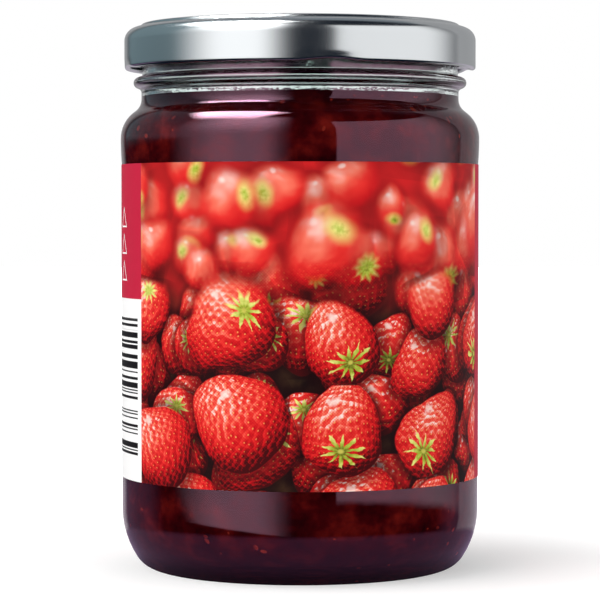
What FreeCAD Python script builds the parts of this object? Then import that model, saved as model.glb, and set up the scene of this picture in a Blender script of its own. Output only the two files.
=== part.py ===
import FreeCAD, Part
import math
import os

# A 400 g jam jar: a round glass jar, filled with jam, closed by a twist-off steel lid and
# wrapped in a paper label. Millimetres, +Z up. The origin is the middle of the foot, on the
# surface that the jar stands on, and the front of the label faces -Y.

# Glass body
body_radius = 35.5       # outside of the band under the shoulder, the widest part
body_top = 85.0          # height where the shoulder starts to turn in
band_height = 1.4        # plain band between the label panel and the shoulder
label_recess = 0.2       # the label panel lies this far inside the band
wall = 2.5               # glass thickness at the band, the shoulder and the neck

# Foot and floor of the glass
heel_height = 12.0       # height where the heel's large arc meets the wall
heel_radius = 17.5       # large arc of the heel
foot_radius = 5.3        # small arc between the heel and the foot ring
foot_ring = 2.0          # width of the flat ring that the jar stands on
punt_depth = 1.8         # how far the underside is pushed up in the middle
base_thickness = 5.0     # height of the inside floor at its edge
floor_rise = 1.0         # the inside floor is this much higher in the middle
inner_corner = 9.0       # arc between the inside floor and the wall

# Shoulder and neck of the glass
shoulder_radius = 6.4    # outer arc that turns the shoulder in
shoulder_turn = 54.0     # degrees that the shoulder leans in before it turns up again
neck_curve = 3.0         # arc that turns the shoulder up into the neck
neck_radius = 31.4       # outside of the neck, below the bead
neck_run = 3.2           # from the start of the neck up to the middle of the bead
bead_radius = 1.05       # half thickness of the bead round the neck
bead_reach = 1.55        # how far the bead stands out from the neck
bead_fillet = 0.5        # curve between the bead and the glass above and below it

# Finish, the top of the glass that the lid closes on
finish_step = 0.15       # the finish lies this far inside the neck
rim_outer_round = 1.2
rim_inner_round = 0.8
thread_depth = 1.1       # how far the threads stand out
thread_height = 2.0      # height of a thread at its root
thread_span = 60.0       # degrees round the jar that one thread covers
thread_clearance = 0.15  # room between a thread and the lug under it

# Lid
steel = 0.25             # thickness of the tinplate
lid_depth = 9.0          # from the raised ring's top to the curl's lower edge
lid_gap = 1.5            # open height between the bead and the curl
curl_radius = 0.9        # the lower edge is rolled in to this radius
curl_clearance = 0.6     # room between the threads and the curl
lid_shoulder = 2.6       # arc between the skirt and the shelf
ring_height = 0.7        # the raised ring stands this far above the shelf
ring_width = 0.85
ring_overhang = 0.2      # the ring's outside is this far outside the glass finish
ring_round = 0.4         # rounding of the ring's two top edges
ring_inner_curve = 0.4   # curve between the ring and the sunk panel
ring_outer_curve = 0.2   # curve between the ring and the shelf
panel_depth = 0.9        # the middle of the lid is sunk this far below the ring
button_radius = 11.0     # the safety button in the middle
button_rise = 0.35

# Lugs, where the curl is pressed in under a thread
lug_count = 4
lug_turn = -80.0         # direction of the first lug, in degrees from +X
lug_width = 15.0
lug_thickness = 0.9
lug_lift = 0.45          # the curl's lower edge rises this far over a lug
lug_raise = 0.3          # a lug's middle is this far above the curl's middle
lug_clearance = 0.3      # room between a lug's tip and the glass

# Jam and label
jam_above_neck = 0.6     # jam surface over the height where the neck starts
paper = 0.1              # thickness of the label
label_above_heel = 6.4   # from the heel's top to the label's lower edge
label_below_band = 3.55  # from the label's upper edge to the band
label_turn = 7.5         # degrees that the label's middle is turned to the right of -Y
label_gap = 9.0          # bare glass between the label's two ends, at the back

# Sizes and heights that follow from these
panel_radius = body_radius - label_recess
finish_radius = neck_radius - finish_step
inner_radius = body_radius - wall
inner_neck = neck_radius - wall


def cos(degrees):
    return math.cos(math.radians(degrees))


def sin(degrees):
    return math.sin(math.radians(degrees))


shoulder_run = (body_radius - neck_radius
                - (shoulder_radius + neck_curve) * (1 - cos(shoulder_turn))) / sin(shoulder_turn)
neck_start = (body_top + (shoulder_radius + neck_curve) * sin(shoulder_turn)
              + shoulder_run * cos(shoulder_turn))
bead_z = neck_start + neck_run
lid_bottom = bead_z + bead_radius + lid_gap
lid_top = lid_bottom + lid_depth
shelf_z = lid_top - ring_height
panel_z = lid_top - panel_depth
rim_z = panel_z - steel
jam_level = neck_start + jam_above_neck

curl_z = lid_bottom + curl_radius
lid_radius = finish_radius + thread_depth + curl_clearance + 2 * curl_radius
lug_z = curl_z + lug_raise
thread_low = lug_z + lug_thickness / 2 + thread_clearance
thread_rise = rim_z - rim_outer_round - thread_height - thread_low


# Drawing tools: a half section lies in the XZ plane, and every round piece is that section
# turned about Z.

def at(radius, z):
    """The point of a half section at this distance from the axis and this height."""
    return FreeCAD.Vector(radius, 0, z)


def arc(centre, radius, start, end):
    """An arc about centre. Angles are degrees from outwards, positive towards up."""
    angles = (start, (start + end) / 2, end)
    return Part.Arc(*(centre + at(radius * cos(a), radius * sin(a)) for a in angles)).toShape()


def crown(edge_radius, edge_z, rise):
    """A shallow dome, as an arc from the point at edge_radius to the axis, rise above edge_z."""
    sphere = (edge_radius ** 2 + rise ** 2) / (2 * rise)
    half = math.degrees(math.asin(edge_radius / sphere))
    return arc(at(0, edge_z + rise - sphere), sphere, 90 - half, 90)


def ends(stop):
    """The first and the last point of an arc, or a point twice."""
    if isinstance(stop, FreeCAD.Vector):
        return stop, stop
    return stop.valueAt(stop.FirstParameter), stop.valueAt(stop.LastParameter)


def turned(stops, degrees=360.0):
    """Joins points and arcs by straight runs into a closed section and turns it about Z."""
    edges = []
    for stop, following in zip(stops, stops[1:] + stops[:1]):
        if not isinstance(stop, FreeCAD.Vector):
            edges.append(stop)
        leave, meet = ends(stop)[1], ends(following)[0]
        if leave.distanceToPoint(meet) > 1e-6:
            edges.append(Part.LineSegment(leave, meet).toShape())
    section = Part.Face(Part.Wire(edges))
    return section.revolve(FreeCAD.Vector(0, 0, 0), FreeCAD.Vector(0, 0, 1), degrees)


def backwards(stops):
    """The same points and arcs, drawn the other way."""
    reversed_stops = []
    for stop in reversed(stops):
        if isinstance(stop, FreeCAD.Vector):
            reversed_stops.append(stop)
            continue
        middle = stop.valueAt((stop.FirstParameter + stop.LastParameter) / 2)
        first, last = ends(stop)
        reversed_stops.append(Part.Arc(last, middle, first).toShape())
    return reversed_stops


def spun(shape, degrees):
    """A copy of the shape, turned about Z."""
    copy = shape.copy()
    copy.rotate(FreeCAD.Vector(0, 0, 0), FreeCAD.Vector(0, 0, 1), degrees)
    return copy


# Glass

def shoulder(inset):
    """The shoulder's S, from the body up to the neck, or the same line inset by the wall."""
    lower = at(body_radius - shoulder_radius, body_top)
    upper = at(neck_radius + neck_curve, neck_start)
    return [arc(lower, shoulder_radius - inset, 0, shoulder_turn),
            arc(upper, neck_curve + inset, 180 + shoulder_turn, 180)]


def underside():
    """From the middle of the foot out over the foot ring and up the heel to the label panel."""
    heel = at(panel_radius - heel_radius, heel_height)
    reach = heel_radius - foot_radius
    drop = heel_height - foot_radius
    foot = at(heel.x + math.sqrt(reach ** 2 - drop ** 2), foot_radius)
    turn = math.degrees(math.asin(-drop / reach))
    punt = crown(foot.x - foot_ring, 0, punt_depth)
    return backwards([punt]) + [arc(foot, foot_radius, -90, turn), arc(heel, heel_radius, turn, 0)]


def bead():
    """The bead round the neck, with a fillet to the neck below and to the finish above."""
    middle = at(neck_radius + bead_reach - bead_radius, bead_z)

    def fillet(side_radius, side):
        across = side_radius + bead_fillet - middle.x
        along = math.sqrt((bead_radius + bead_fillet) ** 2 - across ** 2)
        towards = math.degrees(math.atan2(-side * along, -across))
        return at(side_radius + bead_fillet, bead_z + side * along), towards

    below, below_end = fillet(neck_radius, -1)
    above, above_end = fillet(finish_radius, 1)
    return [arc(below, bead_fillet, 180, below_end),
            arc(middle, bead_radius, below_end - 180, above_end + 180),
            arc(above, bead_fillet, above_end, -180)]


def cavity(top):
    """The inside of the glass from the middle of the floor up to a height in the neck."""
    corner = at(inner_radius - inner_corner, base_thickness + inner_corner)
    floor = crown(corner.x, base_thickness, floor_rise)
    return (backwards([floor]) + [arc(corner, inner_corner, -90, 0)] + shoulder(wall)
            + [at(inner_neck, top)])


def thread(direction):
    """One sloping ridge on the finish. A lug of the lid hooks under its lower part."""
    root = finish_radius - wall / 4
    crest = finish_radius + thread_depth
    half = thread_height / 2
    ridge = Part.Arc(at(root, -half), at(crest, 0), at(root, half)).toShape()
    solid = spun(turned([ridge], thread_span), -thread_span / 2)
    slope = math.degrees(math.atan(thread_rise / 2 / (finish_radius * sin(thread_span / 2))))
    solid.rotate(FreeCAD.Vector(0, 0, 0), FreeCAD.Vector(1, 0, 0), slope)
    solid.translate(FreeCAD.Vector(0, 0, thread_low + half + thread_rise / 2))
    return spun(solid, direction + thread_span / 4)


def glass_jar():
    rim = [arc(at(finish_radius - rim_outer_round, rim_z - rim_outer_round), rim_outer_round, 0, 90),
           arc(at(inner_neck + rim_inner_round, rim_z - rim_inner_round), rim_inner_round, 90, 180)]
    band = [at(panel_radius, body_top - band_height - label_recess),
            at(body_radius, body_top - band_height)]
    outside = underside() + band + shoulder(0) + bead() + rim
    inside = cavity(rim_z - rim_inner_round)
    jar = turned(outside + backwards(inside))
    return jar.fuse([thread(direction) for direction in lug_directions()]).removeSplitter()


# Lid

def lug_directions():
    return [lug_turn + 360.0 * i / lug_count for i in range(lug_count)]


def lid_skin(inset):
    """The lid's upper surface from its middle out to the skirt, or the same line inset."""
    ring_radius = finish_radius + ring_overhang
    ring_inner = ring_radius - ring_width
    button = crown(button_radius, panel_z - inset, button_rise)
    return backwards([button]) + [
        arc(at(ring_inner - ring_inner_curve, panel_z + ring_inner_curve),
            ring_inner_curve + inset, -90, 0),
        arc(at(ring_inner + ring_round, lid_top - ring_round), ring_round - inset, 180, 90),
        arc(at(ring_radius - ring_round, lid_top - ring_round), ring_round - inset, 90, 0),
        arc(at(ring_radius + ring_outer_curve, shelf_z + ring_outer_curve),
            ring_outer_curve + inset, 180, 270),
        arc(at(lid_radius - lid_shoulder, shelf_z - lid_shoulder), lid_shoulder - inset, 90, 0)]


def lug(direction):
    """A flat tongue with a round tip, from the curl in towards the glass."""
    half = lug_thickness / 2
    tip = at(finish_radius + lug_clearance + half, lug_z)
    curl_middle = lid_radius - curl_radius
    degrees = math.degrees(lug_width / curl_middle)
    tongue = [arc(tip, half, 90, 270), at(curl_middle, lug_z - half), at(curl_middle, lug_z + half)]
    return spun(turned(tongue, degrees), direction - degrees / 2)


def lug_scoop(direction):
    """What a lug's pressing takes off the lower edge of the curl: a wide shallow arch."""
    arch_radius = ((lug_width / 2) ** 2 + lug_lift ** 2) / (2 * lug_lift)
    start = at(lid_radius - 3 * curl_radius, lid_bottom + lug_lift - arch_radius)
    return spun(Part.makeCylinder(arch_radius, 4 * curl_radius, start, at(1, 0)), direction)


def lid():
    skirt_inside = lid_radius - steel
    curl_middle = at(lid_radius - curl_radius, curl_z)
    curl_end = math.degrees(math.acos((skirt_inside - curl_middle.x) / curl_radius)) - 360
    curl = [arc(curl_middle, curl_radius, 0, curl_end)]
    shell = turned(lid_skin(0) + curl + backwards(lid_skin(steel)))
    closed = shell.cut([lug_scoop(direction) for direction in lug_directions()])
    return closed.fuse([lug(direction) for direction in lug_directions()]).removeSplitter()


# Contents and label

def jam():
    return turned(cavity(jam_level) + [at(0, jam_level)])


def label():
    """A paper band on the label panel, open at the back."""
    low = heel_height + label_above_heel
    high = body_top - band_height - label_recess - label_below_band
    outside = panel_radius + paper
    section = [at(panel_radius, low), at(outside, low), at(outside, high), at(panel_radius, high)]
    open_degrees = math.degrees(label_gap / panel_radius)
    back = 90 + label_turn
    return spun(turned(section, 360 - open_degrees), back + open_degrees / 2)


os.makedirs("parts", exist_ok=True)
for make in (glass_jar, jam, lid, label):
    shape = make()
    piece = shape if shape.ShapeType == "Solid" else shape.Solids[0]
    piece.exportStep(f"parts/{make.__name__}.step")
    print(f"{make.__name__}: {len(shape.Solids)} solid, {piece.Volume / 1000:.2f} cm3, "
          f"valid {piece.isValid()}")
print(f"lid top {lid_top:.2f}, rim {rim_z:.2f}, jam {jam_level:.2f}, inside neck {inner_neck:.2f}")
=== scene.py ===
# A 400 g jam jar: glass, jam, steel lid and paper label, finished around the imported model.
# Metres, +Z up, the middle of the foot at the origin, the front of the label towards -Y.

import math
import random

import bmesh
import bpy
from mathutils import Matrix, Vector


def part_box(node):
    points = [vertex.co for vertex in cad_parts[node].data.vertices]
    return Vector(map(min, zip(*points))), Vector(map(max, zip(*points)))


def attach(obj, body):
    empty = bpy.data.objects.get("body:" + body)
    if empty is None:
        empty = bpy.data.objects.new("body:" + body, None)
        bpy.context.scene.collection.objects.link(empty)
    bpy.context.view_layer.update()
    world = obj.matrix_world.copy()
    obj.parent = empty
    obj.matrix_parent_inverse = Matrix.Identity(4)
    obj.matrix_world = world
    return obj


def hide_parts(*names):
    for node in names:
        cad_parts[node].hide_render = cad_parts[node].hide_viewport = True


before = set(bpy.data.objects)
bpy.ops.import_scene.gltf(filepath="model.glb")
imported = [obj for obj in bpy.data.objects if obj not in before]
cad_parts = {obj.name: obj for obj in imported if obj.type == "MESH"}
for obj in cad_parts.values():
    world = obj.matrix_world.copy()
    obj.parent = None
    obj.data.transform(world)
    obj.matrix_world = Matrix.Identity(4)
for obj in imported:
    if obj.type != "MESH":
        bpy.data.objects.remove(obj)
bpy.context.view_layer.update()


# Glass jar
# Clear soda-lime glass, blown in a mould: a thick foot with a pushed-up underside, a plain
# wall, a rounded shoulder, a bead round the neck, and the threaded finish under the lid.

mm = 0.001
glass_low, glass_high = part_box("glass_jar")
jam_low, jam_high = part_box("jam")
lid_low, lid_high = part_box("lid")
label_low, label_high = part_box("label")

body_radius = glass_high.x
body_top = 85 * mm           # where the shoulder starts to turn in
label_recess = 0.2 * mm
panel_radius = body_radius - label_recess
inner_radius = jam_high.x
wall = body_radius - inner_radius

heel_height = 12 * mm
heel_radius = 17.5 * mm
foot_radius = 5.3 * mm
foot_ring = 2 * mm
punt_depth = 1.8 * mm
floor_edge = jam_low.z
floor_rise = 1 * mm
inner_corner = 9 * mm

shoulder_radius = 6.4 * mm
shoulder_turn = 54           # degrees
neck_curve = 3 * mm
neck_radius = 31.4 * mm
neck_run = 3.2 * mm
bead_radius = 1.05 * mm
bead_reach = 1.55 * mm
bead_fillet = 0.5 * mm
lower_fillet = 1.0 * mm
finish_radius = neck_radius - 0.15 * mm
inner_neck = neck_radius - wall
rim_z = glass_high.z
rim_outer_round = 1.2 * mm
rim_inner_round = 0.8 * mm

lug_directions = [-80 + 90 * quarter for quarter in range(4)]
thread_span = 60             # degrees
thread_depth = 1.1 * mm
thread_half = 1 * mm
thread_low = lid_low.z + 1.8 * mm
thread_rise = rim_z - rim_outer_round - 2 * thread_half - thread_low

glass_tint = (0.965, 0.985, 0.98, 1)
glass_ior = 1.5
sheen_tint = (1.75, 0.90, 1.28, 1)
ripple_size = 9 * mm         # slow waves that the mould leaves in the wall
ripple_depth = 0.012 * mm
chill_size = 1.1 * mm        # fine marks from the cold mould
chill_depth = 0.0007 * mm
wrinkle_size = 0.9 * mm      # and small wrinkles on the neck, where it cooled first
wrinkle_depth = 0.022 * mm
wrinkle_below = 1 * mm       # they fade in from here below the jam's surface
wrinkle_above = 0.5 * mm     # to here above it


def cos(degrees):
    return math.cos(math.radians(degrees))


def sin(degrees):
    return math.sin(math.radians(degrees))


class Outline:
    """A half section drawn in the XZ plane, stop by stop, and then turned about the jar's axis."""

    degrees_a_part = 6
    sides = 288

    def __init__(self, radius, height):
        self.mesh = bmesh.new()
        self.tip = self.mesh.verts.new((radius, 0, height))

    def line(self, radius, height, parts=1):
        start, stop = self.tip.co.copy(), Vector((radius, 0, height))
        for part in range(1, parts + 1):
            self.tip = bmesh.ops.extrude_vert_indiv(self.mesh, verts=[self.tip])["verts"][0]
            self.tip.co = start.lerp(stop, part / parts)

    def arc(self, centre_radius, centre_height, degrees):
        """Carries the line round a centre. From outwards towards upwards is positive."""
        parts = max(6, math.ceil(abs(degrees) / self.degrees_a_part))
        drawn = bmesh.ops.spin(
            self.mesh, geom=[self.tip], cent=(centre_radius, 0, centre_height), axis=(0, -1, 0),
            angle=math.radians(degrees), steps=parts)
        self.tip = drawn["geom_last"][0]

    def turned(self, degrees=360):
        """The mesh of the section turned about Z, with its normals outwards."""
        whole = degrees == 360
        bmesh.ops.spin(
            self.mesh, geom=self.mesh.verts[:] + self.mesh.edges[:], cent=(0, 0, 0), axis=(0, 0, 1),
            angle=math.radians(degrees), steps=round(self.sides * degrees / 360), use_merge=whole)
        bmesh.ops.remove_doubles(self.mesh, verts=self.mesh.verts, dist=0.001 * mm)
        bmesh.ops.recalc_face_normals(self.mesh, faces=self.mesh.faces)
        return self.mesh


def finished(mesh, name, sharp=35):
    """The piece made of a mesh, smooth except where it turns by more than sharp degrees."""
    for face in mesh.faces:
        face.smooth = True
    for edge in mesh.edges:
        edge.smooth = edge.is_boundary or edge.calc_face_angle(0) < math.radians(sharp)
    data = bpy.data.meshes.new(name)
    mesh.to_mesh(data)
    mesh.free()
    piece = bpy.data.objects.new(name, data)
    bpy.context.scene.collection.objects.link(piece)
    return piece


def draw_cavity(outline, push, top):
    """The inside of the glass from the middle of its floor up to a height in the neck."""
    corner = (inner_radius - inner_corner, floor_edge + inner_corner)
    dome = (corner[0] ** 2 + floor_rise ** 2) / (2 * floor_rise)
    outline.arc(0, floor_edge + floor_rise - dome, -math.degrees(math.asin(corner[0] / dome)))
    outline.arc(*corner, 90)
    outline.line(inner_radius + push, body_top, 4)
    outline.arc(body_radius - shoulder_radius, body_top, shoulder_turn)
    curve = neck_curve + wall - push
    outline.line(neck_radius + neck_curve - curve * cos(shoulder_turn),
                 neck_start - curve * sin(shoulder_turn))
    outline.arc(neck_radius + neck_curve, neck_start, -shoulder_turn)
    outline.line(inner_neck + push, top, 4)


shoulder_run = ((body_radius - neck_radius
                 - (shoulder_radius + neck_curve) * (1 - cos(shoulder_turn))) / sin(shoulder_turn))
neck_start = (body_top + (shoulder_radius + neck_curve) * sin(shoulder_turn)
              + shoulder_run * cos(shoulder_turn))
bead_z = neck_start + neck_run
bead_middle = neck_radius + bead_reach - bead_radius


def draw_bead(outline):
    """The bead, from the finish above it to the neck below it, with a fillet on either side."""
    above_across = finish_radius + bead_fillet - bead_middle
    below_across = neck_radius + lower_fillet - bead_middle
    above_along = math.sqrt((bead_radius + bead_fillet) ** 2 - above_across ** 2)
    below_along = math.sqrt((bead_radius + lower_fillet) ** 2 - below_across ** 2)
    above = math.degrees(math.atan2(above_along, above_across))
    below = math.degrees(math.atan2(-below_along, below_across))
    outline.line(finish_radius, bead_z + above_along, 28)
    outline.arc(finish_radius + bead_fillet, bead_z + above_along, above)
    outline.arc(bead_middle, bead_z, below - above)
    outline.arc(neck_radius + lower_fillet, bead_z - below_along, -below)


recess_height = body_top - label_high.z - 0.05 * mm
recess_curve = (recess_height ** 2 + label_recess ** 2) / (2 * label_recess)
recess_turn = math.degrees(math.asin(recess_height / recess_curve))

jar_outline = Outline(0, floor_edge + floor_rise)
draw_cavity(jar_outline, 0, rim_z - rim_inner_round)
jar_outline.arc(inner_neck + rim_inner_round, rim_z - rim_inner_round, -90)
jar_outline.line(finish_radius - rim_outer_round, rim_z)
jar_outline.arc(finish_radius - rim_outer_round, rim_z - rim_outer_round, -90)
draw_bead(jar_outline)
jar_outline.line(neck_radius, neck_start, 3)
jar_outline.arc(neck_radius + neck_curve, neck_start, shoulder_turn)
jar_outline.line(body_radius - shoulder_radius * (1 - cos(shoulder_turn)),
                 body_top + shoulder_radius * sin(shoulder_turn))
jar_outline.arc(body_radius - shoulder_radius, body_top, -shoulder_turn)
jar_outline.arc(body_radius - recess_curve, body_top, -recess_turn)
jar_outline.line(panel_radius, heel_height, 8)
heel_reach = heel_radius - foot_radius
heel_drop = heel_height - foot_radius
heel_turn = math.degrees(math.asin(heel_drop / heel_reach))
foot_middle = panel_radius - heel_radius + math.sqrt(heel_reach ** 2 - heel_drop ** 2)
jar_outline.arc(panel_radius - heel_radius, heel_height, -heel_turn)
jar_outline.arc(foot_middle, foot_radius, heel_turn - 90)
ring_inside = foot_middle - foot_ring
jar_outline.line(ring_inside, 0)
punt = (ring_inside ** 2 + punt_depth ** 2) / (2 * punt_depth)
jar_outline.arc(0, punt_depth - punt, math.degrees(math.asin(ring_inside / punt)))
jar_mesh = jar_outline.turned()

thread_slope = thread_rise / 2 / (finish_radius * sin(thread_span / 2))
for vertex in jar_mesh.verts:
    on_finish = (math.hypot(*vertex.co.xy) > finish_radius - 0.01 * mm
                 and bead_z + bead_radius < vertex.co.z < rim_z - rim_outer_round)
    for direction in lug_directions:
        middle = math.radians(direction + thread_span / 4)
        turn = math.atan2(vertex.co.y, vertex.co.x) - middle
        turn = math.remainder(turn, 2 * math.pi)
        middle_z = thread_low + thread_half + thread_rise / 2 + thread_slope * finish_radius * turn
        across = (vertex.co.z - middle_z) / thread_half
        along = turn / math.radians(thread_span / 2)
        if on_finish and abs(across) < 1 and abs(along) < 1:
            height = thread_depth * math.sqrt(1 - across ** 2) * (1 - along ** 8)
            vertex.co.xy *= 1 + height / finish_radius

jar = finished(jar_mesh, "jar_glass")


class Wire:
    """An output in a tree of shader nodes. Sums written with it add Math nodes to its tree."""

    def __init__(self, socket):
        self.socket = socket

    def node(self, kind, settings=None, sockets=None, out=0):
        """Adds a node: its settings first, then its sockets as values or wires."""
        tree = self.socket.id_data
        added = tree.nodes.new(kind)
        for name, value in (settings or {}).items():
            if name == "stops":
                ramp = added.color_ramp.elements
                while len(ramp) < len(value):
                    ramp.new(1)
                for stop, (place, colour) in zip(ramp, value):
                    stop.position, stop.color = place, colour
            else:
                setattr(added, name, value)
        for name, value in (sockets or {}).items():
            if isinstance(value, Wire):
                tree.links.new(value.socket, added.inputs[name])
            else:
                added.inputs[name].default_value = value
        return Wire(added.outputs[out])

    def math(self, operation, *others):
        sockets = {index: other for index, other in enumerate((self, *others))}
        return self.node("ShaderNodeMath", {"operation": operation}, sockets)

    def backwards(self, operation, first):
        return self.node("ShaderNodeMath", {"operation": operation}, {0: first, 1: self})

    def __add__(self, other):
        return self.math("ADD", other)

    def __sub__(self, other):
        return self.math("SUBTRACT", other)

    def __mul__(self, other):
        return self.math("MULTIPLY", other)

    def __truediv__(self, other):
        return self.math("DIVIDE", other)

    def __pow__(self, other):
        return self.math("POWER", other)

    def __rsub__(self, other):
        return self.backwards("SUBTRACT", other)

    def __rtruediv__(self, other):
        return self.backwards("DIVIDE", other)

    def __neg__(self):
        return self.math("MULTIPLY", -1)

    __radd__ = __add__
    __rmul__ = __mul__

    def step(self, start, stop):
        """0 before start, 1 after stop, and smooth between them."""
        ranges = {"Value": self, "From Min": start, "From Max": stop}
        return self.node("ShaderNodeMapRange", {"interpolation_type": "SMOOTHSTEP"}, ranges)

    def blend(self, without, covered):
        """A colour: without where this is 0, covered where it is 1."""
        return self.node("ShaderNodeMix", {"data_type": "RGBA"}, {0: self, 6: without, 7: covered}, 2)

    def shift(self, offset):
        """A vector with another added to it."""
        return self.node("ShaderNodeVectorMath", {"operation": "ADD"}, {0: self, 1: offset})

    def minus(self, other):
        return self.node("ShaderNodeVectorMath", {"operation": "SUBTRACT"}, {0: self, 1: other})

    def scaled(self, factor):
        return self.node("ShaderNodeVectorMath", {"operation": "SCALE"}, {0: self, "Scale": factor})

    def axes(self):
        """The three parts of a vector."""
        x = self.node("ShaderNodeSeparateXYZ", {}, {"Vector": self})
        return [Wire(output) for output in x.socket.node.outputs]

    def noise(self, size, detail=2, out=0):
        """Cloudy noise whose blots are about size across."""
        sockets = {"Vector": self, "Scale": 1 / size, "Detail": detail}
        return self.node("ShaderNodeTexNoise", {}, sockets, out)

    def bump(self, depth, normal=None):
        """A normal for a surface that rises by depth where this goes from 0 to 1."""
        sockets = {"Height": self, "Distance": depth, "Strength": 1}
        if normal:
            sockets["Normal"] = normal
        return self.node("ShaderNodeBump", {}, sockets)


def material(name):
    """A new material: its Principled shader, and its Object coordinates."""
    made = bpy.data.materials.new(name)
    made.use_nodes = True
    shader = made.node_tree.nodes["Principled BSDF"]
    place = made.node_tree.nodes.new("ShaderNodeTexCoord").outputs["Object"]
    return shader, Wire(place)


def finish(piece, shader, sockets):
    """Sets the shader's sockets and gives the piece its material."""
    for name, value in sockets.items():
        if isinstance(value, Wire):
            shader.id_data.links.new(value.socket, shader.inputs[name])
        else:
            shader.inputs[name].default_value = value
    for made in bpy.data.materials:
        if made.node_tree == shader.id_data:
            piece.data.materials.append(made)


def lets_through(wire, ray):
    """The shader at wire, but clear as air for one kind of ray."""
    kind = wire.node("ShaderNodeLightPath").socket.node.outputs[ray]
    air = wire.node("ShaderNodeBsdfTransparent")
    return wire.node("ShaderNodeMixShader", {}, {0: Wire(kind), 1: wire, 2: air})


glass_shader, glass_place = material("clear_glass")
ripple = glass_place.noise(ripple_size, 1).bump(ripple_depth)
chill = glass_place.noise(chill_size, 3).bump(chill_depth, ripple)
on_neck = glass_place.axes()[2].step(jam_high.z - wrinkle_below, jam_high.z + wrinkle_above)
finish(jar, glass_shader, {
    "Base Color": glass_tint, "Roughness": 0.0, "IOR": glass_ior, "Transmission Weight": 1.0,
    "Specular Tint": sheen_tint,
    "Normal": (glass_place.noise(wrinkle_size, 2) * on_neck).bump(wrinkle_depth, chill)})
clear = lets_through(lets_through(Wire(glass_shader.outputs[0]), "Is Shadow Ray"), "Is Diffuse Ray")
glass_output = glass_shader.id_data.nodes["Material Output"]
glass_shader.id_data.links.new(clear.socket, glass_output.inputs["Surface"])

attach(jar, "root")
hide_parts("glass_jar")


# Jam
# Boiled fruit and sugar, set to a dark red jelly that fills the glass up into the neck.
# It lies against the glass all round; here it reaches a little into the wall, so no gap shows.

into_glass = 0.12 * mm
jam_dark = (0.014, 0.0002, 0.0004, 1)
jam_middle = (0.036, 0.0006, 0.0009, 1)
jam_bright = (0.115, 0.0055, 0.0036, 1)
pulp_size = 6 * mm
shred_size = 1.6 * mm

jam_outline = Outline(0, floor_edge + floor_rise - into_glass)
draw_cavity(jam_outline, into_glass, jam_high.z)
jam_outline.line(0, jam_high.z, 6)
jam_mesh = jam_outline.turned()
jam = finished(jam_mesh, "jam_body")

# Painted shade: the jam's colour is darkened by height, towards the foot and in the neck.
foot_shade = (2 * mm, 13 * mm)      # the jam looks darker below the second height
neck_shade = (87 * mm, 92 * mm)     # and above the first one
shaded_colour = (0.002, 0.0002, 0.0004, 1)
least_light = 0.3                   # share of its colour that the jam keeps there
pulp_share = 0.7                    # the rest of the clouding is shreds

jam_shader, jam_place = material("jam")
shreds = jam_place.noise(shred_size, 4)
cloud = jam_place.noise(pulp_size, 4) * pulp_share + shreds * (1 - pulp_share)
jam_height = jam_place.axes()[2]
open_light = jam_height.step(*foot_shade) * (1 - jam_height.step(*neck_shade))
jam_stops = {"stops": [(0.36, jam_dark), (0.50, jam_middle), (0.68, jam_bright)]}
jam_tone = cloud.node("ShaderNodeValToRGB", jam_stops, {0: cloud})
finish(jam, jam_shader, {
    "Base Color": (open_light * (1 - least_light) + least_light).blend(shaded_colour, jam_tone),
    "Roughness": 0.35, "Specular IOR Level": 0.0})

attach(jam, "root")
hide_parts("jam")


# Seeds and fruit shreds
# Pips and torn bits of the berries, caught in the jam against the glass, a little paler and
# more orange than the jelly. Only those that bare glass shows are made.

pip_count = 90
pip_sizes = (0.45 * mm, 0.29 * mm, 0.14 * mm)
pip_pale = (0.21, 0.017, 0.009, 1)
pip_red = (0.10, 0.006, 0.004, 1)
random.seed(7)
bare = [vertex for vertex in jam.data.vertices
        if not label_low.z < vertex.co.z < label_high.z and vertex.co.z < jam_high.z - 1 * mm
        and math.hypot(*vertex.co.xy) > 0.6 * inner_radius]
pips_mesh = bmesh.new()
for spot in random.sample(bare, pip_count):
    turn = spot.normal.to_track_quat("Z", "Y").to_matrix().to_4x4()
    roll = Matrix.Rotation(random.uniform(0, 2 * math.pi), 4, "Z")
    grow = random.uniform(0.5, 1.5)
    stretch = Matrix.Diagonal((*(size * grow for size in pip_sizes), 1))
    bmesh.ops.create_icosphere(pips_mesh, subdivisions=2, radius=1,
                               matrix=Matrix.Translation(spot.co) @ turn @ roll @ stretch)
pips = finished(pips_mesh, "jam_pips", 180)

pip_shader, pip_place = material("jam_pips")
pip_tone = pip_place.noise(2 * mm, 1).step(0.35, 0.65)
finish(pips, pip_shader, {
    "Base Color": pip_tone.blend(pip_red, pip_pale), "Roughness": 0.4, "Specular IOR Level": 0.0})

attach(pips, "root")
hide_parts("jam")


# Lid
# Pressed from tinplate 0.25 mm thick: a raised ring over the glass rim, a sunk panel with a
# button, and a skirt whose edge is rolled in and pressed into four lugs that grip the threads.

steel = 0.25 * mm
lid_radius = lid_high.x
lid_top = lid_high.z
curl_radius = 0.6 * mm
curl_z = lid_low.z + curl_radius
lid_shoulder = 2.6 * mm
shelf_z = lid_top - 0.7 * mm
panel_z = lid_top - 0.9 * mm
ring_radius = finish_radius + 0.2 * mm
ring_inner = ring_radius - 0.85 * mm
ring_round = 0.4 * mm
ring_inner_curve = 0.4 * mm
ring_flat = 0.02 * mm
ring_slope = 1.05 * mm       # the ring runs down to the shelf over this width
button_radius = 11 * mm
button_rise = 0.35 * mm
curl_turn = 285              # degrees that the edge is rolled

lug_width = 15 * mm
lug_lift = 0.45 * mm         # the rolled edge rises this far over a lug
lug_press = 0.22 * mm        # and the skirt is pushed in this far
lug_thickness = 0.9 * mm
lug_z = lid_low.z + 1.2 * mm

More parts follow.
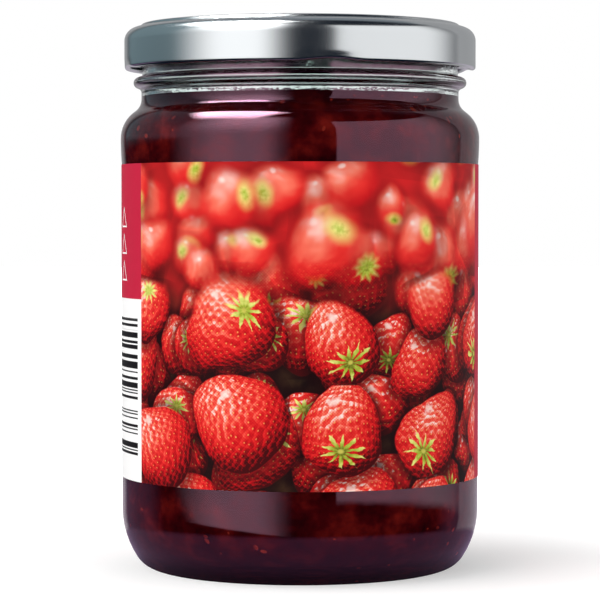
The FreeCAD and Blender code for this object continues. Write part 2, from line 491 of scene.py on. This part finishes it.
steel_colour = (0.66, 0.68, 0.69, 1)
satin = 0.2                  # roughness of the lacquered steel
grain_size = 0.35 * mm
grain_depth = 0.0006 * mm
lacquer_size = 14 * mm       # the roughness changes slowly over this size
lacquer_change = 0.06
press_height = 2.4 * mm
lug_clearance = 0.3 * mm

button = (button_radius ** 2 + button_rise ** 2) / (2 * button_rise)
lid_outline = Outline(0, panel_z + button_rise)
lid_outline.arc(0, panel_z + button_rise - button, -math.degrees(math.asin(button_radius / button)))
lid_outline.line(ring_inner - ring_inner_curve, panel_z, 3)
lid_outline.arc(ring_inner - ring_inner_curve, panel_z + ring_inner_curve, 90)
lid_outline.line(ring_inner, lid_top - ring_round)
lid_outline.arc(ring_inner + ring_round, lid_top - ring_round, -90)
ring_outer = ring_inner + ring_round + ring_flat + ring_slope / 2
lid_outline.line(ring_outer - ring_slope / 2, lid_top)
ring_height = lid_top - shelf_z
ring_turn = 2 * math.degrees(math.atan(ring_height / ring_slope))
ring_curve = ring_slope / 2 / sin(ring_turn)
lid_outline.arc(ring_outer - ring_slope / 2, lid_top - ring_curve, -ring_turn)
lid_outline.arc(ring_outer + ring_slope / 2, shelf_z + ring_curve, ring_turn)
lid_outline.line(lid_radius - lid_shoulder, shelf_z)
lid_outline.arc(lid_radius - lid_shoulder, shelf_z - lid_shoulder, -90)
lid_outline.line(lid_radius, curl_z, 18)
lid_outline.arc(lid_radius - curl_radius, curl_z, -curl_turn)
lid_mesh = lid_outline.turned()

for vertex in lid_mesh.verts:
    radius = math.hypot(*vertex.co.xy)
    for direction in lug_directions:
        turn = math.atan2(vertex.co.y, vertex.co.x) - math.radians(direction)
        turn = math.remainder(turn, 2 * math.pi)
        along = turn * lid_radius / (lug_width / 2)
        up = (vertex.co.z - lid_low.z) / press_height
        if abs(along) < 1 and up < 1 and radius > ring_radius:
            pressed = math.cos(along * math.pi / 2) ** 2 * math.cos(up * math.pi / 2) ** 2
            vertex.co.xy *= 1 - lug_press * pressed / radius
            vertex.co.z += lug_lift * pressed
bmesh.ops.solidify(lid_mesh, geom=lid_mesh.faces[:], thickness=steel)

lug_inner = finish_radius + lug_clearance
lug_outer = lid_radius - curl_radius
for direction in lug_directions:
    tongue = bmesh.new()
    bmesh.ops.create_cube(tongue, size=1)
    across = [edge for edge in tongue.edges if abs(edge.verts[0].co.y - edge.verts[1].co.y) > 0.5]
    bmesh.ops.subdivide_edges(tongue, edges=across, cuts=9)
    for vertex in tongue.verts:
        radius = lug_outer if vertex.co.x > 0 else lug_inner
        bend = math.radians(direction) + vertex.co.y * lug_width / lug_outer
        up = lug_z + vertex.co.z * lug_thickness
        vertex.co = (radius * math.cos(bend), radius * math.sin(bend), up)
    tongue_data = bpy.data.meshes.new("tongue")
    tongue.to_mesh(tongue_data)
    tongue.free()
    lid_mesh.from_mesh(tongue_data)
    bpy.data.meshes.remove(tongue_data)
lid = finished(lid_mesh, "lid_tinplate")

lid_shader, lid_place = material("lid_steel")
grain = lid_place.noise(grain_size, 2)
cloud = lid_place.noise(lacquer_size, 3)
finish(lid, lid_shader, {
    "Base Color": steel_colour, "Metallic": 1.0, "Roughness": satin + (cloud - 0.5) * lacquer_change,
    "Normal": grain.bump(grain_depth)})

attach(lid, "root")
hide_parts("lid")


# Label
# Coated paper, printed and glued round the panel with its two ends apart at the back.

paper_gap = 0.02 * mm        # glue between the paper and the glass
label_radius = label_high.x
label_turn = 7.5             # degrees that its middle is turned to the right of the front
label_gap = 9 * mm
open_degrees = math.degrees(label_gap / panel_radius)

label_outline = Outline(label_radius, label_low.z)
label_outline.line(label_radius, label_high.z)
label_mesh = label_outline.turned(360 - open_degrees)
bmesh.ops.rotate(label_mesh, verts=label_mesh.verts, cent=(0, 0, 0),
                 matrix=Matrix.Rotation(math.radians(90 + label_turn + open_degrees / 2), 3, "Z"))
bmesh.ops.solidify(label_mesh, geom=label_mesh.faces[:], thickness=label_radius - panel_radius - paper_gap)
label = finished(label_mesh, "label_wrap")

# The print's own sizes are in millimetres round the label and up it.
picture_edge = 41.4          # the picture runs this far to either side of the middle
white_edge = 69.5            # and the white panel this far to the left
white_top = 53.7             # height of the white panel's upper edge
bar_sides = (-66, -43)
bar_heights = (23.5, 50.5)
bar_pitch = 0.27
mark_middle = -51.6          # three small triangles, one over the other
mark_low = 56.3
mark_pitch = 5.2
mark_outline = (1.05, 1.35)
table_sides, table_heights = (54, 92), (25, 73)
rule_sides, rule_heights = (56, 90), (27, 71)
rule_pitch = 3.1
print_edge = 0.04

sharp_below, blurred_above = 47, 66      # the picture goes out of focus between these heights
focus_waver, focus_waver_size = 8, 16
heap_waver, heap_waver_size = 2.4, 9
screen_turns, screen_depth = 11, 0.05    # the fine screen that the picture is printed with
fuzz_size = 0.9
whole_turn = 6.28
heap_order = 0.5                         # how unevenly the berries lie
berry_length, berry_length_change = 1.08, 0.12
berry_width, berry_width_change = 0.76, 0.20
berry_taper = 0.30
crisp_rim, blurred_rim = 0.50, 0.08
crisp_border, blurred_border = 0.4, 3.2
seed_spacing = 1.75
seed_order = 0.62
seed_light = (0.10, -0.14, 0)            # from a seed towards the light, in seed spacings
light_up, light_left = 0.40, 0.22        # a berry brightens this much upwards and to the left
glint_left, glint_up = 0.20, 0.42
leaf_rays = 10
leaf_place = 0.46                        # the leaves sit this far from the berry's middle
leaf_squash = 1.35
leaf_core, leaf_length = 0.13, 0.36


def ink(red, green, blue):
    """A colour given as it shows, from 0 to 255, as the shader takes it."""
    return (*(((part / 255 + 0.055) / 1.055) ** 2.4 for part in (red, green, blue)), 1)


label_shader, label_place = material("label_paper")
middle_turn = (0, 0, math.radians(-label_turn))
label_x, label_y, label_z = label_place.node(
    "ShaderNodeMapping", {}, {"Vector": label_place, "Rotation": middle_turn}).axes()
across = label_x.math("ARCTAN2", -label_y) * (label_radius / mm)
up = label_z / mm
sheet = label_place.node("ShaderNodeCombineXYZ", {}, {"X": across, "Y": up})
blurred = (up + (sheet.noise(focus_waver_size, 1) - 0.5) * focus_waver).step(sharp_below, blurred_above)
crisp = 1 - blurred
heap_sway = sheet.noise(heap_waver_size, 2, "Color").scaled(heap_waver)
screen = ((across * screen_turns).math("SINE") * (up * screen_turns).math("SINE")) * screen_depth
fuzz = sheet.noise(fuzz_size, 2) - 0.5
deep_red, dull_red, berry_red = ink(66, 2, 8), ink(140, 6, 14), ink(204, 16, 24)
light_red, coral, gloss = ink(232, 48, 42), ink(248, 116, 92), ink(255, 214, 202)
olive, leaf_green, pale_green = ink(104, 108, 26), ink(168, 182, 58), ink(234, 232, 130)
seed_yellow, leaf_heart, glint_white = ink(240, 176, 96), ink(216, 206, 92), ink(255, 226, 216)
red_stops = {"stops": [(0.0, deep_red), (0.18, dull_red), (0.40, berry_red),
                       (0.64, light_red), (0.84, coral), (1.0, gloss)]}
leaf_stops = {"stops": [(0.05, olive), (0.36, leaf_green), (0.80, pale_green)]}


def seeds(place):
    """How far each spot of a berry's skin is from the nearest seed."""
    sockets = {"Vector": place, "Scale": 1.0, "Randomness": seed_order}
    kind = {"voronoi_dimensions": "2D", "feature": "F1"}
    return place.node("ShaderNodeTexVoronoi", kind, sockets, "Distance")


def berries(spacing, offset, depth, leafy):
    """One layer of the printed heap of berries: its cover, its colour and the shade it casts."""
    # One berry in each cell, its long way turned by chance
    cell = sheet.shift(heap_sway).shift(offset).scaled(1 / spacing)
    spot = {"Vector": cell, "Scale": 1.0, "Randomness": heap_order}

    def heap(feature, out):
        kind = {"voronoi_dimensions": "2D", "feature": feature}
        return cell.node("ShaderNodeTexVoronoi", kind, spot, out)

    near = heap("F1", "Position")
    chance = Wire(near.socket.node.outputs["Color"])
    turn_chance, width_chance, leaf_chance = chance.axes()
    room = heap("N_SPHERE_RADIUS", "Radius") * spacing
    border = heap("DISTANCE_TO_EDGE", "Distance") * spacing
    long = room * (width_chance * berry_length_change + berry_length)
    local = cell.minus(near).scaled(spacing)
    side, rise, _ = local.axes()
    turned = local.node("ShaderNodeVectorRotate", {"rotation_type": "Z_AXIS"},
                        {"Vector": local, "Angle": turn_chance * whole_turn})
    cross, length, _ = turned.axes()
    b = length / long
    wide = long * (width_chance * berry_width_change + berry_width) * (b * berry_taper + 1)
    a = cross / wide
    out = (a * a + b * b) ** 0.5
    cover = 1 - out.step(crisp * crisp_rim + 0.46, blurred * blurred_rim + 1.0)
    cover = cover * border.step(0, blurred * blurred_border + crisp_border)
    dome = (1 - out * out).math("MAXIMUM", 0) ** 0.5

    # Its skin: a round shade, seeds in their pits, small glints and one large one
    skin = cell.node("ShaderNodeCombineXYZ", {}, {"X": a * long, "Y": b * long})
    skin = skin.scaled((out * out * 0.5 + 1) / seed_spacing)
    pip = seeds(skin)
    emboss = (seeds(skin.shift(seed_light)) - pip).math("MAXIMUM", -0.12) * crisp
    slope = (rise * light_up - side * light_left) / long
    seed = (1 - pip.step(0.05, 0.15)) * crisp * (dome + slope).step(0.25, 0.85)
    lit = dome * 0.62 + slope + emboss * 0.9 + (skin.noise(2.6, 2) - 0.5) * 0.36 + screen
    lit = lit + blurred * 0.08 + 0.10 - depth * (crisp * 0.7 + 0.3)
    lit = lit - (1 - pip.step(0.15, 0.5)) * crisp * 0.10
    red = cell.node("ShaderNodeValToRGB", red_stops, {0: lit})
    red = (seed * 0.7).blend(red, seed_yellow)
    shine = (slope + dome * 0.5 + emboss * 1.5).step(0.66, 0.84) * (fuzz + 0.5).step(0.50, 0.62)
    red = (shine * crisp * 0.8).blend(red, ink(255, 232, 226))
    glint_side, glint_rise = side + long * glint_left, rise - long * (leaf_chance * 0.14 + glint_up)
    glint = (glint_side * glint_side + glint_rise * glint_rise * 1.6) ** 0.5 / long
    wobble = (sheet.noise(1.3, 2) - 0.5) * crisp * 0.34
    glint = 1 - (glint + wobble).step(0.04, crisp * 0.02 + 0.13)
    red = (glint * (blurred * 0.1 + 0.75)).blend(red, glint_white)

    # Its leaves: a star of uneven points round the stalk, on some of the berries
    leaf_side, leaf_rise = cross, (length - long * leaf_place) * leaf_squash
    far = (leaf_side * leaf_side + leaf_rise * leaf_rise) ** 0.5 / long
    angle = leaf_side.math("ARCTAN2", leaf_rise)
    ray = (angle * (leaf_rays / math.pi) + leaf_chance * 9 + fuzz * 0.7).math("PINGPONG", 1)
    uneven = sheet.noise(2.0, 1) * 0.8 - 0.4
    reach = (ray ** 1.3 * leaf_length + leaf_core + uneven * 0.6) * crisp + blurred * 0.34
    leaf = 1 - (far / reach.math("MAXIMUM", 0.07)).step(0.90 - blurred * 0.8, 1.05 + blurred * 0.4)
    leaf = leaf * (leaf_chance + blurred * 0.15).step(leafy, leafy + 0.02)
    leaf = leaf * border.step(0, blurred * 2 + 0.3)
    vein = far * 1.5 + fuzz * 0.8 + ray * 0.20 * crisp + slope * 0.7 + blurred * 0.45
    green = cell.node("ShaderNodeValToRGB", leaf_stops, {0: vein - depth})
    green = ((1 - far.step(0.03, 0.09)) * crisp * 0.8).blend(green, leaf_heart)
    shade = (1 - out.step(0.92, 1.40)) * 0.8
    return cover.math("MAXIMUM", leaf), leaf.blend(red, green), shade


gap_tone = sheet.noise(5, 3).step(0.35, 0.7)
picture = gap_tone.blend(ink(24, 12, 12), ink(62, 40, 24))
picture = blurred.blend(picture, ink(206, 30, 32))
berry_layers = (             # spacing, offset, how dark, and how few have leaves, from the lowest up
    (14.5, (57, 311, 0), 0.20, 0.6), (14.0, (3, 40, 0), 0.12, 0.5),
    (16.5, (211, 7, 0), 0.05, 0.45), (19.0, (95, 163, 0), 0.0, 0.40))
for layer in berry_layers:
    cover, colour, shade = berries(*layer)
    picture = (shade * (1 - cover) * (crisp * 0.75 + 0.25)).blend(picture, ink(30, 4, 8))
    picture = cover.blend(picture, colour)


def inside(wire, low, high):
    """1 from low to high, else 0, with an edge as crisp as print."""
    above_low = wire.step(low - print_edge, low + print_edge)
    return above_low * (1 - wire.step(high - print_edge, high + print_edge))


bar_place = (up / bar_pitch).math("FLOOR")
bar_chance = bar_place.node("ShaderNodeTexWhiteNoise", {"noise_dimensions": "1D"}, {"W": bar_place})
bars = bar_chance.step(0.44, 0.46) * inside(across, *bar_sides) * inside(up, *bar_heights)
mark_up = (up - mark_low) / mark_pitch
mark_y = (mark_up.math("FRACT") - 0.42) * mark_pitch
mark_x = (across - mark_middle).math("ABSOLUTE")
three = (mark_x * cos(30) + mark_y * sin(30)).math("MAXIMUM", -mark_y)
marks = inside(three, *mark_outline) * inside(up, mark_low, mark_low + 3 * mark_pitch)
table = inside(across, *table_sides) * inside(up, *table_heights)
rule = 1 - ((up / rule_pitch).math("FRACT") * rule_pitch).step(0.16, 0.24)
rules = rule * inside(across, *rule_sides) * inside(up, *rule_heights)

white = ink(250, 250, 249)
paper = (inside(across, -white_edge, -picture_edge) * inside(up, 0, white_top)).blend(
    ink(196, 30, 62), white)
paper = marks.blend(paper, white)
paper = bars.blend(paper, ink(28, 26, 28))
paper = table.blend(paper, white)
paper = rules.blend(paper, ink(150, 150, 152))
paper = inside(across, -picture_edge, picture_edge).blend(paper, picture)
finish(label, label_shader, {
    "Base Color": paper, "Roughness": 0.48, "Specular IOR Level": 0.08})

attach(label, "root")
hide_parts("label")


# Table and studio
# A pale table, a white backdrop, two large softboxes left and right of the camera and a small
# hot one overhead. They are painted on the world, so they light the jar from all round.

foot_shadow_span = (28, 38)         # distances from the jar's axis, mm: under the jar the table is dark,
dim_table = (54, 66)         # and up to here the glass mirrors it dimly, but not farther out
dim_colour = (0.26, 0.19, 0.31, 1)
# Painted shadow: the table under the jar's foot, as the glass mirrors it, gets this dark colour.
painted_foot_shadow = (0.002, 0.001, 0.002, 1)
glow_spread = (36, 180)      # the table seen straight whitens outwards over these distances
glow_near, glow_gain = 0.22, 0.5

# Lamps: where they start and end, each with its soft edge after it, in degrees of bearing
# (0 at the camera, 90 on the right) and of height, and how bright they are.
left_bearings = (-51, 42, -28, 25)
left_foot_slope, left_foot_level, left_foot_edge = -0.166, -20.7, (-1.5, 1)
left_top = (50, 64)
left_low_light, left_more_light, left_rise = 1.35, 2.2, (0, 46)
right_bearings, right_heights, right_light = (24, 2, 88, 46), (-7.1, 0.8, 40, 3), 1.12
overhead_light = 20
overhead_corner = (0.12, 0.17)
overhead_cos, overhead_sin = 0.673, 0.740
overhead_across = ((-0.02, 0.03), (0.22, 0.75))
overhead_along = ((-0.12, 0.06), (0.6, 0.9))
backdrop_sides = ((122, 126), (-160, -148))
backdrop_heights = (-40, 5, 46, 6)
backdrop_mirrored, backdrop_through = 0.4, 0.48
teal_bearings, teal_heights = (-146, 6, -90, 30), (3.4, 3.6, 60, 10)
teal_colour = (0.19, 0.27, 0.30, 1)
sky_colour = (0.004, 0.009, 0.018, 1)
ceiling_behind, ceiling_heights = (95, 140), (56, 14, 78, 12)
ceiling_colour = (0.24, 0.27, 0.30, 1)
low_side_bearings, low_side_heights = (96, 116), (-16, 4, -6.2, 0.8)
low_side_colour = (0.16, 0.11, 0.19, 1)
fill_light, lamp_share, lamp_limit = 0.58, 0.5, 6

black, full = (0, 0, 0, 1), (1, 1, 1, 1)

floor_mesh = bmesh.new()
bmesh.ops.create_grid(floor_mesh, x_segments=1, y_segments=1, size=3)
floor = finished(floor_mesh, "table_top")
floor_shader, floor_place = material("table_top")
floor_x, floor_y, _ = floor_place.axes()
from_axis = (floor_x * floor_x + floor_y * floor_y) ** 0.5 / mm
floor_rays = floor_place.node("ShaderNodeLightPath").socket.node.outputs
glow = (from_axis.step(*glow_spread) * glow_gain + glow_near) * Wire(floor_rays["Is Camera Ray"])
finish(floor, floor_shader, {
    "Base Color": (0.9, 0.9, 0.9, 1), "Roughness": 0.9, "Specular IOR Level": 0.0,
    "Emission Color": glow.blend(black, full), "Emission Strength": 1.0})
# Painted light for mirrored rays: a painted shadow under the foot that fades into a dim painted glow round
# it.
past_foot = from_axis.step(*foot_shadow_span)
gleam = past_foot.node("ShaderNodeEmission", {}, {"Color": past_foot.blend(painted_foot_shadow, dim_colour)})
air = gleam.node("ShaderNodeBsdfTransparent")
mirrored_floor = gleam.node("ShaderNodeMixShader", {}, {
    0: from_axis.step(*dim_table), 1: gleam, 2: air})
seen_floor = gleam.node("ShaderNodeMixShader", {}, {
    0: Wire(floor_rays["Is Glossy Ray"]), 1: Wire(floor_shader.outputs[0]), 2: mirrored_floor})
floor_output = floor_shader.id_data.nodes["Material Output"]
floor_shader.id_data.links.new(seen_floor.socket, floor_output.inputs["Surface"])

world = bpy.data.worlds.new("studio")
bpy.context.scene.world = world
world.use_nodes = True
background = world.node_tree.nodes["Background"]
towards = Wire(world.node_tree.nodes.new("ShaderNodeTexCoord").outputs["Generated"])
along_x, along_y, along_z = towards.axes()
bearing = along_x.math("ARCTAN2", -along_y) / math.radians(1)
height = along_z.math("ARCSINE") / math.radians(1)
world_rays = towards.node("ShaderNodeLightPath").socket.node.outputs
is_bent = Wire(world_rays["Is Transmission Ray"])


def between(wire, low, low_edge, high, high_edge):
    """1 from low to high, with a soft edge of its own width at either end."""
    return wire.step(low - low_edge, low) * (1 - wire.step(high, high + high_edge))


left_foot = bearing * left_foot_slope + left_foot_level
left_height = (height - left_foot).step(*left_foot_edge) * (1 - height.step(*left_top))
left_height = left_height * (height.step(*left_rise) * left_more_light + left_low_light)
left_box = between(bearing, *left_bearings) * left_height
right_box = between(bearing, *right_bearings) * between(height, *right_heights) * right_light

aloft = along_z.math("MAXIMUM", 0.05)
plan_x, plan_y = along_x / aloft + overhead_corner[0], along_y / aloft + overhead_corner[1]
from_edge = plan_x * -overhead_cos - plan_y * overhead_sin
along_edge = plan_y * overhead_cos - plan_x * overhead_sin
overhead = from_edge.step(*overhead_across[0]) * (1 - from_edge.step(*overhead_across[1]))
overhead = overhead * along_edge.step(*overhead_along[0]) * (1 - along_edge.step(*overhead_along[1]))
overhead = overhead * along_z.step(0.1, 0.3) * overhead_light

behind = bearing.step(*backdrop_sides[0]) + (1 - bearing.step(*backdrop_sides[1]))
behind = behind * between(height, *backdrop_heights) * (is_bent * backdrop_through + backdrop_mirrored)
teal = between(bearing, *teal_bearings) * between(height, *teal_heights)
ceiling = bearing.math("ABSOLUTE").step(*ceiling_behind) * between(height, *ceiling_heights)
low_sides = bearing.math("ABSOLUTE").step(*low_side_bearings) * between(height, *low_side_heights)
sky = teal.blend(sky_colour, teal_colour)
sky = ceiling.blend(sky, ceiling_colour)
sky = low_sides.blend(sky, low_side_colour)

lamps = left_box + right_box + overhead
bright_parts = (lamps + behind).blend(black, full)
bright_parts.socket.node.clamp_factor = False
mirrored = sky.node("ShaderNodeMix", {"data_type": "RGBA", "blend_type": "ADD"},
                    {0: 1.0, 6: sky, 7: bright_parts}, 2)
lighting = (lamps.math("MINIMUM", lamp_limit) * lamp_share + fill_light).blend(black, full)
lighting.socket.node.clamp_factor = False
mirror_ray = Wire(world_rays["Is Glossy Ray"]).math("MAXIMUM", is_bent)
shown = Wire(world_rays["Is Camera Ray"]).blend(mirror_ray.blend(lighting, mirrored), full)
world.node_tree.links.new(shown.socket, background.inputs["Color"])

camera = bpy.data.objects.new("camera", bpy.data.cameras.new("camera"))
bpy.context.scene.collection.objects.link(camera)
camera_away, camera_height, camera_dip = 523.5 * mm, 69.92 * mm, 1.85
camera.location = (0, -camera_away, camera_height)
camera.rotation_euler = (math.radians(90 - camera_dip), 0, 0)
camera.data.lens = 158
bpy.context.scene.camera = camera
bpy.context.scene.view_settings.view_transform = "Standard"
